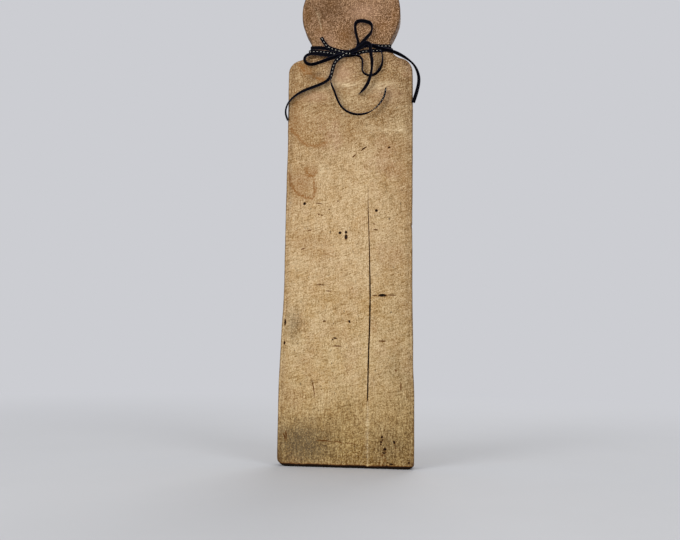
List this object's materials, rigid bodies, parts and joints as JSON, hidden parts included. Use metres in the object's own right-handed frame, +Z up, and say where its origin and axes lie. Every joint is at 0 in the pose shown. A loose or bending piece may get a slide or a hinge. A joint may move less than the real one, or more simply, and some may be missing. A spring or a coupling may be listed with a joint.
{
  "type": "paddle-shaped bread board",
  "caption": "Old hand-cut wooden bread board in the outline of a paddle, with a round knob, a notched neck, a drying crack and a narrow stitched ribbon tied in a loose bow.",
  "frame": {"origin": "middle of the board's foot, where it stands on a surface", "axes": "+Z up the board from the foot to the knob, -Y out of the face that the bow is tied on, +X to the right as that face is looked at"},
  "size_m": [0.1323, 0.0244, 0.482],
  "materials": {
    "wood": "old bare wood, darkened by handling at the knob and the foot",
    "ribbon": "black ribbon with white running stitches along the middle of one face"
  },
  "bodies": {
    "root": {"board": "wood", "bow_knot": "ribbon", "upper_wrap": "ribbon", "lower_wrap": "ribbon", "short_end": "ribbon", "left_loop": "ribbon", "left_tail": "ribbon", "curled_tail": "ribbon", "top_loop": "ribbon", "lower_loop": "ribbon", "middle_tail": "ribbon", "right_tail": "ribbon"}
  },
  "joints": []
}
